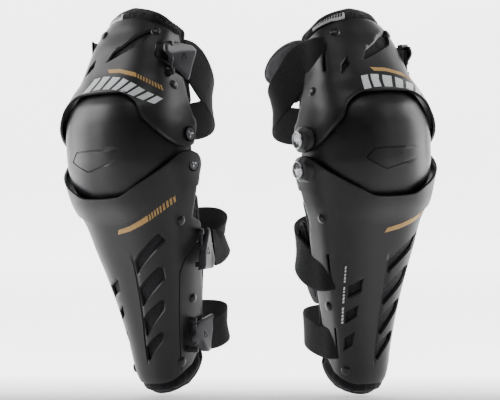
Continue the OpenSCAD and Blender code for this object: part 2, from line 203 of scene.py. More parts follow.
def inside(points, outline):
    """Which points lie inside a closed outline."""
    a, b = outline, np.roll(outline, -1, axis=0)
    x, y = points[:, 0][:, None], points[:, 1][:, None]
    crosses = (a[:, 1] > y) != (b[:, 1] > y)
    with np.errstate(divide="ignore", invalid="ignore"):
        at = a[:, 0] + (y - a[:, 1]) * (b[:, 0] - a[:, 0]) / (b[:, 1] - a[:, 1])
    return (crosses & (x < at)).sum(1) % 2 == 1


def nearest(points, line, closed):
    """Distance to a line, the side of it (+1 on its left) and the distance along it, at each point."""
    a = line if closed else line[:-1]
    b = np.roll(line, -1, axis=0) if closed else line[1:]
    d = b - a
    length = np.linalg.norm(d, axis=1)
    start = np.concatenate([[0], np.cumsum(length)[:-1]])
    out = [np.empty(len(points)) for _ in range(3)]
    for i in range(0, len(points), 2000):
        p = points[i:i + 2000, None]
        t = np.clip(((p - a) * d).sum(-1) / np.maximum(length**2, 1e-12), 0, 1)
        gap = np.linalg.norm(p - a - t[..., None] * d, axis=-1)
        k = gap.argmin(1)
        rows = np.arange(len(k))
        side = d[k, 0] * (p[:, 0, 1] - a[k, 1]) - d[k, 1] * (p[:, 0, 0] - a[k, 0])
        out[0][i:i + 2000] = gap[rows, k]
        out[1][i:i + 2000] = np.where(side >= 0, 1, -1)
        out[2][i:i + 2000] = start[k] + t[rows, k] * length[k]
    return out


class Relief:
    """A raised or sunk line or area: its height at each distance to the left of a line, or inside one."""

    def __init__(self, line, knots, closed=True, fade=0.0):
        line = np.asarray(line, float)
        self.line = resample(anticlockwise(line) if closed else line, closed, 2.5)
        self.knots, self.closed, self.fade = knots, closed, fade

    def lines(self):
        return [offset(self.line, s, self.closed) for s, _ in self.knots if abs(s) <= 2]

    def height(self, uz):
        gap, side, along = nearest(uz, self.line, self.closed)
        if self.closed:
            side = np.where(inside(uz, self.line), 1, -1)
        h = np.interp(gap * side, *zip(*self.knots))
        if self.fade:
            total = np.linalg.norm(np.diff(self.line, axis=0), axis=1).sum()
            h = h * smooth([0, 1], [0, 1], np.minimum(along, total - along) / self.fade)
        return h


def groove(depth, half):
    return [(-half, 0), (-half * 0.35, -depth), (half * 0.35, -depth), (half, 0)]


# ---------- meshes


def triangulate(outline, holes, lines, cell):
    """Points and triangles of an outline with holes, with the lines among its edges."""
    loops = [(loop_of(o, cell), True) for o in [outline, *holes]]
    kept = loops + [(line, closed) for line, closed in lines]
    points, edges = [], []
    for line, closed in kept:
        first = len(points)
        points += list(line)
        edges += [(first + i, first + i + 1) for i in range(len(line) - 1)]
        if closed:
            edges.append((first + len(line) - 1, first))
    low, high = loops[0][0].min(0), loops[0][0].max(0)
    across, up = np.arange(low[0], high[0], cell), np.arange(low[1], high[1], cell * 0.87)
    grid = np.array([(x + (cell / 2 if j % 2 else 0), y) for j, y in enumerate(up) for x in across])
    grid = grid[inside(grid, loops[0][0])]
    for line, closed in kept:
        if len(grid):
            grid = grid[nearest(grid, line, closed)[0] > cell * 0.45]
    points += list(grid)
    found = delaunay_2d_cdt([Vector(p) for p in points], edges, [], 0, 1e-4)
    verts = np.array([tuple(v) for v in found[0]])
    faces = np.array([f for f in found[2] if len(f) == 3])
    middle = verts[faces].mean(1)
    keep = inside(middle, loops[0][0])
    for hole, _ in loops[1:]:
        keep &= ~inside(middle, hole)
    faces = faces[keep]
    a, b, c = verts[faces[:, 0]], verts[faces[:, 1]], verts[faces[:, 2]]
    area = (b[:, 0] - a[:, 0]) * (c[:, 1] - a[:, 1]) - (b[:, 1] - a[:, 1]) * (c[:, 0] - a[:, 0])
    faces[area < 0] = faces[area < 0][:, ::-1]
    faces = faces[np.abs(area) > 1e-6]
    used = np.unique(faces)
    new = np.full(len(verts), -1)
    new[used] = np.arange(len(used))
    return verts[used], new[faces]


def rim_edges(faces):
    """Edges that only one triangle has, in that triangle's direction."""
    edges = {(int(f[i]), int(f[(i + 1) % len(f)])): True for f in faces for i in range(len(f))}
    return [e for e in edges if (e[1], e[0]) not in edges]


def linked(name, data):
    obj = bpy.data.objects.new(name, data)
    bpy.context.scene.collection.objects.link(obj)
    return obj


def mesh_object(verts, faces, uv=None, sharp=180, bevel_edges=(), bevel=0.0):
    """A local mesh in millimetres, smooth except where faces meet by more than sharp degrees."""
    mesh = bpy.data.meshes.new("local")
    mesh.from_pydata([tuple(v) for v in verts], [], [tuple(int(i) for i in f) for f in faces])
    mesh.validate()
    if uv is not None:
        layer = mesh.uv_layers.new(name="Surface")
        index = np.empty(len(mesh.loops), np.int32)
        mesh.loops.foreach_get("vertex_index", index)
        layer.data.foreach_set("uv", (np.asarray(uv)[index] * 0.001).astype(np.float32).ravel())
    mesh.shade_smooth()
    obj = linked("local", mesh)
    if bevel:
        wanted = {tuple(sorted(e)) for e in bevel_edges}
        weights = [1.0 if tuple(sorted(e.vertices)) in wanted else 0.0 for e in mesh.edges]
        mesh.attributes.new("bevel_weight_edge", "FLOAT", "EDGE").data.foreach_set("value", weights)
        modifier = obj.modifiers.new("edge", "BEVEL")
        modifier.limit_method = "WEIGHT"
        modifier.width, modifier.segments = bevel, 2
        modifier.use_clamp_overlap = True
        bake_modifiers(obj)
    if sharp < 180:
        sharpen(obj, sharp)
    return obj


def bake_modifiers(obj):
    bpy.context.view_layer.update()
    made = bpy.data.meshes.new_from_object(obj.evaluated_get(bpy.context.evaluated_depsgraph_get()))
    obj.modifiers.clear()
    obj.data = made


def sharpen(obj, degrees):
    """Marks edges sharp where their faces meet at more than that angle."""
    with bpy.context.temp_override(object=obj, active_object=obj, selected_editable_objects=[obj],
                                   selected_objects=[obj]):
        bpy.ops.object.shade_smooth_by_angle(angle=math.radians(degrees), keep_sharp_edges=True)


def sheet(outer, inner, faces, uz, sharp=180, bevel=0.0):
    """A closed sheet: the same triangles outside and inside, with a wall round their rims."""
    n = len(uz)
    rim = rim_edges(faces)
    walls = [(b, a, a + n, b + n) for a, b in rim]
    edges = rim + [(a + n, b + n) for a, b in rim]
    everything = [*faces, *(faces[:, ::-1] + n), *walls]
    return mesh_object(np.vstack([outer, inner]), everything, np.vstack([uz, uz]), sharp, edges, bevel)


def laid(form, outlines, high, low, cell):
    """Closed sheets over outlines on a form, between two functions of the place."""
    made = []
    for outline in outlines:
        uz, faces = triangulate(outline, [], [], cell)
        made.append(sheet(form.point(uz, high(uz)), form.point(uz, low(uz)), faces, uz))
    return join(made)


class Shell:
    """A moulded shell on a form: outline, holes and reliefs, all in (u, z)."""

    def __init__(self, form, outline, holes=(), reliefs=()):
        self.form, self.outline, self.holes, self.reliefs = form, outline, list(holes), list(reliefs)

    def relief(self, uz):
        return sum((r.height(uz) for r in self.reliefs), np.zeros(len(uz)))

    def build(self, cell=3.2, wall=WALL, bevel=0.8):
        lines = [(line, r.closed) for r in self.reliefs for line in r.lines()]
        uz, faces = triangulate(self.outline, self.holes, lines, cell)
        height = self.relief(uz)
        outer = self.form.point(uz, height)
        inner = self.form.point(uz, np.minimum(-wall, height - wall * 0.3) + np.maximum(height, 0))
        return sheet(outer, inner, faces, uz, 48, bevel)

    def patch(self, outlines, proud=0.16, cell=3.0):
        """Thin flat shapes that lie on the shell, such as a print."""
        relief = self.relief
        return laid(self.form, outlines, lambda uz: relief(uz) + proud, lambda uz: relief(uz) - 0.4, cell)

    def frame_at(self, uz):
        """A place on the shell: its matrix has +Z outwards and +Y up the shell."""
        uz = np.array([uz], float)
        z = Vector(self.form.normal(uz)[0])
        at = Vector(self.form.point(uz, self.relief(uz))[0])
        x = Vector((0, 0, 1)).cross(z).normalized()
        return Matrix.Translation(at) @ Matrix((x, z.cross(x), z)).transposed().to_4x4()


def edge_line(form, knots, low, high):
    """(u, z) points along an edge given as [angle, height] knots, from one angle to another."""
    angles = np.linspace(low, high, 90)
    z = smooth([k[0] for k in knots], [k[1] for k in knots], np.abs(angles))
    return np.stack([form.u(angles), z], -1)


def shell_outline(form, low, high, right, left=None):
    """The closed outline of a shell as part.scad makes it."""
    at = lambda knots, x: np.interp(x, *zip(*knots))
    z0, z1 = at(low, 90), at(high, 90)
    share = np.linspace(0, 1, 70)
    sides = []
    for sign, reach in ((1, right), (-1, left or right)):
        angle = sign * smooth(*zip(*reach), z0 + (z1 - z0) * share)
        bottom = smooth(*zip(*low), np.abs(angle))
        top = smooth(*zip(*high), np.abs(angle))
        sides.append(np.stack([form.u(angle), bottom + (top - bottom) * share], -1))
    start, end = form.angle(sides[1][0, 0]), form.angle(sides[0][0, 0])
    bottom = edge_line(form, low, start, end)[1:-1]
    start, end = form.angle(sides[0][-1, 0]), form.angle(sides[1][-1, 0])
    top = edge_line(form, high, start, end)[1:-1]
    return np.vstack([bottom, sides[0], top, sides[1][::-1]])


# ---------- materials


class Look:
    """A procedural material around one shader."""

    def __init__(self, name, roughness, **sockets):
        self.material = bpy.data.materials.new(name)
        self.material.use_nodes = True
        self.tree = self.material.node_tree
        self.shader = self.tree.nodes["Principled BSDF"]
        self.shader.inputs["Roughness"].default_value = roughness
        for socket, value in sockets.items():
            self.shader.inputs[socket.replace("_", " ")].default_value = value

    def node(self, kind, settings=None, **inputs):
        made = self.tree.nodes.new("ShaderNode" + kind)
        for key, value in (settings or {}).items():
            setattr(made, key, value)
        for key, value in inputs.items():
            self.join(value, made.inputs[int(key[1:]) if key[0] == "i" and key[1:].isdigit()
                                         else key.replace("_", " ")])
        return made

    def join(self, value, socket):
        if isinstance(value, bpy.types.NodeSocket):
            self.tree.links.new(value, socket)
        else:
            socket.default_value = value

    def place(self, flat, turn=0.0):
        """Coordinates in metres: the piece's own surface map, or its space."""
        if flat:
            source = self.node("UVMap", {"uv_map": "Surface"}).outputs[0]
        else:
            source = self.node("TexCoord").outputs["Object"]
        return self.node("Mapping", Vector=source, Rotation=(0, 0, math.radians(turn))).outputs[0]

    def noise(self, scale, detail=3.0):
        return self.node("TexNoise", Vector=self.place(False), Scale=scale, Detail=detail).outputs[0]

    def ramp(self, factor, low, high, start=0.35, end=0.65):
        made = self.node("ValToRGB", Fac=factor)
        for stop, colour, at in zip(made.color_ramp.elements, (low, high), (start, end)):
            stop.color, stop.position = (*colour, 1), at
        return made.outputs[0]

    def span(self, factor, low, high, start=0.3, end=0.7):
        return self.node("MapRange", i0=factor, i1=start, i2=end, i3=low, i4=high).outputs[0]

    def maths(self, operation, a, b=0.0):
        return self.node("Math", {"operation": operation}, i0=a, i1=b).outputs[0]

    def bump(self, *layers):
        """Layers of (height, depth in metres), one over another."""
        normal = None
        for height, depth in layers:
            made = self.node("Bump", Height=height, Distance=depth, Strength=1.0)
            if normal is not None:
                self.tree.links.new(normal, made.inputs["Normal"])
            normal = made.outputs[0]
        self.join(normal, self.shader.inputs["Normal"])

    def colour(self, output):
        self.join(output, self.shader.inputs["Base Color"])


def surface(name, dark, light, rough, cloud, bumps, patchy=None, **sockets):
    """Clouds between two colours and bumps of (noise, depth); patchy is (noise, smoother, rougher)."""
    look = Look(name, rough, **sockets)
    look.colour(look.ramp(look.noise(*cloud), dark, light))
    if patchy:
        noise, less, more = patchy
        look.join(look.span(look.noise(*noise), rough - less, rough + more), look.shader.inputs["Roughness"])
    look.bump(*[(look.noise(*noise), depth) for noise, depth in bumps])
    return look.material


def moulded(name, dark, light, rough, grain=0.00003, gloss=0.45):
    """Satin moulded plastic with a fine grain and faint flow marks."""
    return surface(name, dark, light, rough, (28, 4), [((1700, 2), grain), ((45, 2), grain * 3)],
                   ((60, 5), 0.04, 0.05), Specular_IOR_Level=gloss)


def fabric(name, dark, light, rough=0.85, sheen=0.25):
    """Close brushed knit."""
    return surface(name, dark, light, rough, (450, 4), [((900, 3), 0.0004), ((70, 3), 0.0008)],
                   Sheen_Weight=sheen, Sheen_Roughness=0.5, Specular_IOR_Level=0.2)


def perforated(name, dark, light, hole, pitch=330.0):
    """Fabric or sheet with rows of small round holes."""
    look = Look(name, 0.8, Sheen_Weight=0.08, Specular_IOR_Level=0.25)
    cells = look.node("TexVoronoi", {"voronoi_dimensions": "2D"}, Vector=look.place(True, 45.0),
                      Scale=pitch, Randomness=0.0).outputs["Distance"]
    dots = look.span(cells, 0.0, 1.0, 0.24, 0.34)
    cloth = look.ramp(look.noise(300, 4), dark, light)
    mix = look.node("Mix", {"data_type": "RGBA"}, i0=dots)
    look.join((*hole, 1), mix.inputs[6])
    look.join(cloth, mix.inputs[7])
    look.colour(mix.outputs[2])
    look.bump((dots, 0.0006), (look.noise(500, 3), 0.0002))
    return look.material


def woven(name, dark, light):
    """Elastic webbing: ribs along the band, crossed by picks."""
    across, along = 900.0, 420.0
    look = Look(name, 0.78, Sheen_Weight=0.12, Sheen_Roughness=0.4, Specular_IOR_Level=0.25)
    split = look.node("SeparateXYZ", Vector=look.place(True))
    rib = look.maths("SINE", look.maths("MULTIPLY", split.outputs[1], across * 2 * math.pi))
    row = look.maths("FLOOR", look.maths("MULTIPLY", split.outputs[1], across))
    shifted = look.maths("ADD", look.maths("MULTIPLY", split.outputs[0], along),
                         look.maths("MULTIPLY", row, 0.5))
    pick = look.maths("SINE", look.maths("MULTIPLY", shifted, 2 * math.pi))
    weave = look.maths("MULTIPLY", look.maths("ADD", rib, 1.2), look.maths("ADD", pick, 1.3))
    look.colour(look.ramp(look.span(weave, 0.0, 1.0, 0.0, 4.6), dark, light, 0.1, 0.9))
    look.bump((weave, 0.00012), (look.noise(160, 3), 0.0004))
    return look.material


def ribbed(name, dark, light):
    """Ribbed binding tape: ribs across its length."""
    look = Look(name, 0.7, Sheen_Weight=0.12, Specular_IOR_Level=0.3)
    split = look.node("SeparateXYZ", Vector=look.place(True))
    rib = look.maths("SINE", look.maths("MULTIPLY", split.outputs[0], 480 * 2 * math.pi))
    look.colour(look.ramp(look.span(rib, 0.0, 1.0, -1.0, 1.0), dark, light, 0.1, 0.9))
    look.bump((rib, 0.0003), (look.noise(500, 3), 0.0002))
    return look.material


def metal(name, dark, light, rough):
    return surface(name, dark, light, rough, (90, 4), [((900, 2), 0.00002)], ((260, 4), 0.06, 0.1),
                   Metallic=1.0)


def printed(name, dark, light, rough=0.5):
    return surface(name, dark, light, rough, (420, 5), [((1700, 2), 0.00002)], Specular_IOR_Level=0.4)


MATERIALS = {
    "shell_plastic": moulded("satin_black_shell", (0.0052, 0.0046, 0.0058), (0.0075, 0.0066, 0.0082), 0.4),
    "cup_plastic": moulded("satin_black_cup", (0.005, 0.0045, 0.0058), (0.007, 0.0063, 0.008), 0.36),
    "hook_plastic": moulded("grey_hook", (0.017, 0.016, 0.02), (0.024, 0.023, 0.028), 0.4, 0.00004),
    "rivet_plastic": moulded("gloss_black_rivet", (0.004, 0.004, 0.005), (0.007, 0.007, 0.008), 0.3,
                             0.00001, 0.5),
    # matt black plastic for the hinge dishes and pivot wells, darker than the shell: painted shade of those
    # recesses
    "shaded_recess_plastic": moulded("matt_black_recess_painted_shade", (0.003, 0.0028, 0.0032), (0.005, 0.0047, 0.0053), 0.8,
                              gloss=0.06),
    "liner_fabric": fabric("brushed_black_liner", (0.004, 0.0035, 0.0045), (0.012, 0.01, 0.0125), sheen=0.1),
    "wing_mesh": perforated("perforated_wing", (0.016, 0.012, 0.018), (0.03, 0.023, 0.033),
                            (0.003, 0.0025, 0.0035)),
    "vent_mesh": perforated("perforated_insert", (0.016, 0.0145, 0.017), (0.028, 0.026, 0.03),
                            (0.001, 0.001, 0.001), pitch=420.0),
    "webbing": woven("black_webbing", (0.005, 0.0048, 0.0053), (0.019, 0.0175, 0.0195)),
    "binding": ribbed("ribbed_binding", (0.004, 0.0036, 0.0044), (0.015, 0.013, 0.016)),
    "silver_ring": metal("silver_ring", (0.45, 0.45, 0.47), (0.7, 0.7, 0.72), 0.28),
    "steel": metal("steel_pin", (0.35, 0.35, 0.36), (0.5, 0.5, 0.51), 0.35),
    "dark_steel": metal("dark_steel", (0.06, 0.06, 0.065), (0.1, 0.1, 0.105), 0.4),
    "print_gold": printed("gold_print", (0.4, 0.23, 0.065), (0.52, 0.31, 0.095)),
    "print_white": printed("white_print", (0.62, 0.63, 0.65), (0.78, 0.79, 0.8)),
    "label_print": printed("label_ground", (0.5, 0.5, 0.5), (0.66, 0.66, 0.66), 0.7),
    "fastener_fabric": fabric("hook_and_loop", (0.01, 0.01, 0.01), (0.025, 0.025, 0.025), 0.95),
}


# ---------- standing pieces in both guards


def place(guard):
    side = -1 if guard == "left" else 1
    lean = Matrix.Rotation(math.radians(-LEAN), 4, "Y")
    turn = Matrix.Rotation(math.radians(TURN[guard]), 4, "Z")
    down = Matrix.Translation((0, 0, -KNEE_MID))
    return Matrix.Scale(0.001, 4) @ Matrix.Translation((side * PAIR_GAP / 2, 0, 0)) @ lean @ turn @ down


def stand(obj, name, body, slot, replaced=(), bend=None, look=None):
    """Copies a local piece to both guards; given a bend, the piece stays in world space apart from any body,
    and the bend's (body, body, start, end) are not used; pad's fill is not used.
    """
    for guard in ("left", "right"):
        made = linked(f"{guard}_{name}", obj.data.copy())
        made.data.transform(place(guard))
        made.data.materials.clear()
        made.data.materials.append(MATERIALS[look or slot])
        if bend:
            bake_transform(made)
        else:
            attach(made, f"{guard}_{body}")
        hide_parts(*[f"{guard}_{node}" for node in replaced])
    bpy.data.objects.remove(obj)


def join(objects):
    """One local mesh of several."""
    verts, faces, uvs = [], [], []
    for obj in objects:
        mesh, first = obj.data, len(verts)
        verts += [tuple(obj.matrix_world @ v.co) for v in mesh.vertices]
        faces += [tuple(first + i for i in p.vertices) for p in mesh.polygons]
        layer = mesh.uv_layers.get("Surface")
        for loop in range(len(mesh.loops)):
            uvs.append(tuple(layer.data[loop].uv) if layer else (0.0, 0.0))
        bpy.data.objects.remove(obj)
    mesh = bpy.data.meshes.new("joined")
    mesh.from_pydata(verts, [], faces)
    mesh.uv_layers.new(name="Surface").data.foreach_set("uv", np.array(uvs, np.float32).ravel())
    mesh.shade_smooth()
    joined = linked("joined", mesh)
    sharpen(joined, 44)
    return joined


def tube(rings, around, closed=False):
    """Faces round a tube of rings of points, with ends unless it joins up."""
    faces = []
    for i in range(rings if closed else rings - 1):
        a, b = i * around, (i + 1) % rings * around
        faces += [(a + k, a + (k + 1) % around, b + (k + 1) % around, b + k) for k in range(around)]
    if not closed:
        faces += [tuple(range(around))[::-1], tuple((rings - 1) * around + k for k in range(around))]
    return faces


def sweep(centres, normals, half_width, half_thick, square, closed=False, around=12):
    """A flat band along centres: its face looks along normals. UV runs along and across it."""
    centres, normals = np.asarray(centres, float), unit(np.asarray(normals, float))
    if closed:
        ahead = np.roll(centres, -1, axis=0) - np.roll(centres, 1, axis=0)
    else:
        ahead = np.gradient(centres, axis=0)
    ahead = unit(ahead)
    across = unit(np.cross(ahead, normals))
    facing = np.cross(across, ahead)
    turn = np.linspace(0, 2 * np.pi, around, endpoint=False)
    c = np.sign(np.cos(turn)) * np.abs(np.cos(turn)) ** (2 / square)
    s = np.sign(np.sin(turn)) * np.abs(np.sin(turn)) ** (2 / 2.5)
    width = np.broadcast_to(half_width, len(centres))[:, None, None]
    rings = (centres[:, None] + across[:, None] * c[None, :, None] * width
             + facing[:, None] * s[None, :, None] * half_thick)
    length = np.concatenate([[0], np.cumsum(np.linalg.norm(np.diff(centres, axis=0), axis=1))])
    uv = np.stack(np.broadcast_arrays(length[:, None], (c * np.max(half_width))[None]), -1).reshape(-1, 2)
    return mesh_object(rings.reshape(-1, 3), tube(len(centres), around, closed), uv, sharp=60)


def lathe(profile, matrix, sides=40):
    """A round piece from (radius, height) points, about the matrix's Z, with a disc over each end."""
    turn = np.linspace(0, 2 * math.pi, sides, endpoint=False)
    verts = [(r * math.cos(a), r * math.sin(a), h) for r, h in profile for a in turn]
    obj = mesh_object(verts, tube(len(profile), sides), [v[:2] for v in verts], sharp=40)
    obj.data.transform(matrix)
    return obj


def side_matrix(side, y, z, out):
    """Outwards along X at a pivot, on the side where side is 1 or -1."""
    x = Vector((side, 0, 0))
    up = Vector((0, 0, 1))
    return Matrix.Translation((side * out, y, z)) @ Matrix((up.cross(x), up, x)).transposed().to_4x4()


# ---------- the shells

thigh_form, cup_form, shin_form = Form(THIGH, 400), Form(CUP, 300), Form(SHIN, 170)

THIGH_LOW = [[0, 364], [15, 363], [30, 356], [38, 348], [43, 334], [53, 321], [66, 307], [80, 297],
             [90, 295], [100, 312], [130, 312]]
THIGH_HIGH = [[0, 453], [20, 452], [40, 447], [60, 442], [80, 435], [90, 430], [130, 420]]
THIGH_REACH = [[295, 88], [299, 95], [308, 99], [330, 94], [350, 92], [380, 92], [400, 94], [430, 92]]
CUP_LOW = [[0, 206], [35, 210], [60, 226], [75, 246], [90, 262], [130, 264]]
CUP_HIGH = [[0, 381], [30, 378], [55, 366], [75, 345], [90, 324], [130, 321]]
CUP_REACH = [[206, 62], [245, 78], [262, 92], [324, 92], [345, 76], [381, 56]]
SHIN_HIGH = [[0, 239], [10, 240], [26, 249], [45, 261], [65, 275], [79, 287], [86, 291], [130, 291]]
SHIN_LOW = [[0, 15], [30, 15.5], [50, 18], [76, 25], [90, 31], [110, 41], [130, 52]]
SHIN_LEFT = [[31, 90], [48, 106], [100, 107], [190, 100], [220, 93], [262, 98], [275, 100], [285, 97],
             [291, 88]]
SHIN_RIGHT = [[31, 100], [48, 122], [100, 124], [150, 118], [202, 111], [214, 94], [262, 98], [275, 100],
              [285, 97], [291, 88]]


def sunk(outline, depth, width=1.4):
    """A sunk area with sloping walls."""
    return Relief(outline, [(0, 0), (width, -depth), (FAR, -depth)])


def opening(outline, margin):
    return offset(loop_of(outline, 2.0), margin)


# Thigh shell: two vents, a strap slot, the pocket of the hook and a raised rim along the visor.
large_vent = fillet(thigh_form.front((-13, 400), (-5, 414), (22, 431), (40, 439), (41, 430), (34, 419)), 3)
small_vent = fillet(thigh_form.front((-46, 384), (-42, 397), (-31, 407), (-31, 396)), 2)
thigh_slot = fillet(thigh_form.round((-63, 389), (-57, 389), (-55, 429), (-61, 429)), 2)
pocket = fillet(thigh_form.round((50, 404), (54, 421), (80, 421), (96, 419), (110, 400), (110, 380),
                                 (90, 383), (72, 396)), 3)
brim = edge_line(thigh_form, THIGH_LOW, -80, 80)
thigh = Shell(
    thigh_form,
    shell_outline(thigh_form, THIGH_LOW, THIGH_HIGH, THIGH_REACH),
    [opening(large_vent, 1.6), opening(small_vent, 1.2), thigh_slot],
    [sunk(large_vent, 1.8), sunk(small_vent, 1.4, 1.1), sunk(pocket, 1.6),
     Relief(offset(brim, 2.2, False), [(-3, 0.9), (-1.2, 0.9), (0.2, 0), (1, 0)], False, 10)],
)

# Knee cup: a long engraved mark whose ends fade away.
emblem = cup_form.front((36, 295.5), (-6, 296), (-30, 295), (-39, 284), (-13, 271), (32, 282.5))
cup = Shell(
    cup_form,
    shell_outline(cup_form, CUP_LOW, CUP_HIGH, CUP_REACH),
    [],
    [Relief(fillet(emblem, 2.0, False), groove(0.9, 0.95), False, 26)],
)

# Shin shell: a raised collar, four slanted vents beside a step, three side vents, a groove and slots.
collar = shin_form.round((-96, 251), (-71, 243), (-43, 221), (-20, 213), (-6, 207.5), (0, 207), (6, 208),
                         (20, 214), (43, 224), (71, 237), (96, 250))
collar_area = np.vstack([collar, shin_form.round((130, 330), (-130, 330))])
LADDER = [[(12, 163), (22, 172), (55, 197), (58, 188), (51, 179), (12, 146)],
          [(8, 130), (44, 157), (48, 155), (46, 141), (11, 108), (9, 110)],
          [(6, 95), (36, 117), (39, 115), (36, 103), (9, 72), (6, 74)],
          [(3, 60), (27, 78), (30, 76), (27, 66), (6, 42), (3, 44)]]
ladder = [fillet(shin_form.front(*rung), 2.2) for rung in LADDER]
DIAMONDS = [[(-39, 135), (-20, 144), (-21, 127), (-37, 120)], [(-37, 104), (-23, 112), (-24, 98), (-36, 89)],
            [(-35, 72), (-25, 80), (-27, 63), (-34, 56)]]
diamonds = [fillet(shin_form.front(*d), 1.8) for d in DIAMONDS]
ladder_line = shin_form.front((11, 172), (8, 130), (5, 95), (2, 60), (1, 36))
right_line = shin_form.round((76, 26), (80, 100), (82, 148), (88, 162), (111, 184))
calf_slot = fillet(shin_form.round((-79, 130), (-74, 130), (-73, 174), (-78, 174)), 1.6)
ankle_slot = fillet(shin_form.round((-81, 47), (-76, 47), (-76, 85), (-81, 85)), 1.6)
shin = Shell(
    shin_form,
    shell_outline(shin_form, SHIN_LOW, SHIN_HIGH, SHIN_RIGHT, SHIN_LEFT),
    [opening(v, 1.8) for v in ladder] + [opening(v, 1.3) for v in diamonds] + [calf_slot, ankle_slot],
    [Relief(collar_area, [(-0.5, 0), (0.4, 2.4), (FAR, 2.4)]),
     *[sunk(v, 1.9, 1.6) for v in ladder], *[sunk(v, 1.3, 1.1) for v in diamonds],
     Relief(ladder_line, [(-0.45, 0), (0.45, -1.2), (7, 0)], False, 10),
     Relief(right_line, groove(1.3, 1.0), False, 8)],
)


def rivets(shell, places):
    """Domed rivets with thin flanges, where they stand on a shell at (angle, z) places."""
    r = 5.8
    dome = [(r, -1.0), (r, 0.3)]
    dome += [(r * 0.97 * math.cos(a), 0.4 + r * 0.4 * math.sin(a)) for a in np.radians(np.linspace(0, 84, 8))]
    return join([lathe(dome, shell.frame_at((float(shell.form.u(a)), z))) for a, z in places])


def stripe(shell, top, bottom, solid, bars, gap):
    """A printed stripe between two (x, z) lines: solid for a share of its length, then slanted bars."""
    top, bottom = shell.form.front(*top), shell.form.front(*bottom)
    at = lambda line, t: np.array([np.interp(t, np.linspace(0, 1, len(line)), line[:, k]) for k in (0, 1)])
    cuts = [(0, solid)] if solid else []
    pitch = (1 - solid) / bars
    cuts += [(solid + pitch * (i + gap), solid + pitch * (i + 1)) for i in range(bars)]
    out = []
    for a, b in cuts:
        ts = np.linspace(a, b, 12 if b - a > 0.2 else 2)
        out.append(np.array([at(bottom, t) for t in ts] + [at(top, t) for t in ts[::-1]]))
    return out


# ---------- soft parts


# Depth of a liner's outside under its form, how thick the thigh liner is, and the pads' mesh cell.
INNER, THIGH_LINER, SOFT_CELL = WALL + 1.9, 7.5, 4.0


def roll(form, uz):
    """How far a liner swells out where it shows beyond the edge of its shell."""
    angle = np.abs(form.angle(uz[:, 0]))
    if form is thigh_form:
        beyond = uz[:, 1] - smooth(*zip(*THIGH_HIGH), angle)
    elif form is shin_form:
        beyond = smooth(*zip(*SHIN_LOW), angle) - uz[:, 1]
    else:
        return np.zeros(len(uz))
    return 5.2 * smooth([0, 1], [0, 1], beyond / 7 - 0.1)


def fullness(uz, outline):
    """0 at a pad's edge, rising roundly to 1 at 7 mm inside it."""
    border = nearest(uz, loop_of(outline, SOFT_CELL), True)[0]
    return np.sqrt(1 - (1 - np.minimum(1, border / 7)) ** 2)


def cushion(form, outline, deep, thick, channels=(), channel=2.0, puff=0.0):
    """A soft pad between two depths under a form, rounded to its edge, with sewn channels inside."""
    lines = [(resample(line, False, SOFT_CELL), False) for line in channels]
    uz, faces = triangulate(outline, [], lines, SOFT_CELL)
    full = fullness(uz, outline)
    swell = np.zeros(len(uz))
    for line, _ in lines:
        swell = np.maximum(swell, np.exp(-(nearest(uz, line, False)[0] / 3.2) ** 2))
    middle = deep + thick / 2
    wave = np.sin(uz[:, 0] * 0.31 + np.sin(uz[:, 1] * 0.17) * 2) * np.sin(uz[:, 1] * 0.27 + uz[:, 0] * 0.05)
    out = roll(form, uz) * full + puff * full * (1 - swell * 0.8) + 0.35 * wave * full
    outer = form.point(uz, -(middle - thick / 2 * full) + out)
    sewn = 1 - swell * channel / thick * 2
    inner = form.point(uz, -(middle + thick / 2 * full * sewn) - 0.5 * wave * full)
    n = len(uz)
    edge_points = {i for e in rim_edges(faces) for i in e}
    index = np.array([i if i in edge_points else i + n for i in range(n)])
    return mesh_object(np.vstack([outer, inner]), [*faces, *index[faces[:, ::-1]]], np.vstack([uz, uz]))


def binding(form, outline, deep, width, thick):
    """Ribbed tape folded over the edge of a pad."""
    edge = loop_of(outline, 3.0)
    centres = form.point(edge, roll(form, edge) * 0.6 - deep)
    return sweep(centres, form.normal(edge), width, thick, closed=True, square=2.6)


def quilt(form, half, heights):
    """Channels sewn round a pad, to half degrees each way."""
    return [form.round(*[(a, z) for a in range(-half, half + 1, 8)]) for z in heights]


THIGH_PAD = shell_outline(thigh_form, [[0, 399], [45, 391], [80, 361], [90, 355], [130, 350]],
                          [[0, 466], [27, 462], [50, 457], [75, 449], [92, 442], [105, 434], [130, 420]],
                          [[346, 100], [390, 106], [430, 106], [450, 102]])
SHIN_PAD = shell_outline(shin_form, [[0, 1], [40, 2], [70, 5], [90, 9], [105, 14], [123, 24], [135, 44]],
                         [[0, 198], [40, 202], [70, 222], [90, 232], [130, 236]],
                         [[9, 100], [24, 124], [50, 132], [140, 130], [190, 118], [232, 104]],
                         [[9, 100], [24, 122], [50, 126], [92, 120], [112, 117], [232, 104]])
KNEE_PAD = shell_outline(cup_form, [[0, 222], [35, 226], [60, 240], [90, 262]],
                         [[0, 362], [30, 360], [55, 350], [90, 330]], [[262, 66], [330, 66]])

wing_form = Form(THIGH, 400, 0.3)
THIGH_WING = fillet(wing_form.round((-106, 434), (-106, 361), (-124, 364), (-140, 380), (-165, 385),
                                    (-184, 391), (-189, 402), (-178, 415), (-155, 426), (-130, 433)), 9)
CALF_WING = fillet(shin_form.round((-121, 212), (-121, 114), (-134, 114), (-146, 126), (-156, 150),
                                   (-152, 180), (-138, 204)), 9)


def pad(name, node, body, slot, fill, *shape, tape=None, **sewing):
    """A cushion and the tape round its edge: shape is form, outline, depth and thickness."""
    stand(cushion(*shape, **sewing), name, body, slot, [node])
    if tape:
        stand(binding(*shape[:2], *tape), f"{node}_binding", body, "binding")


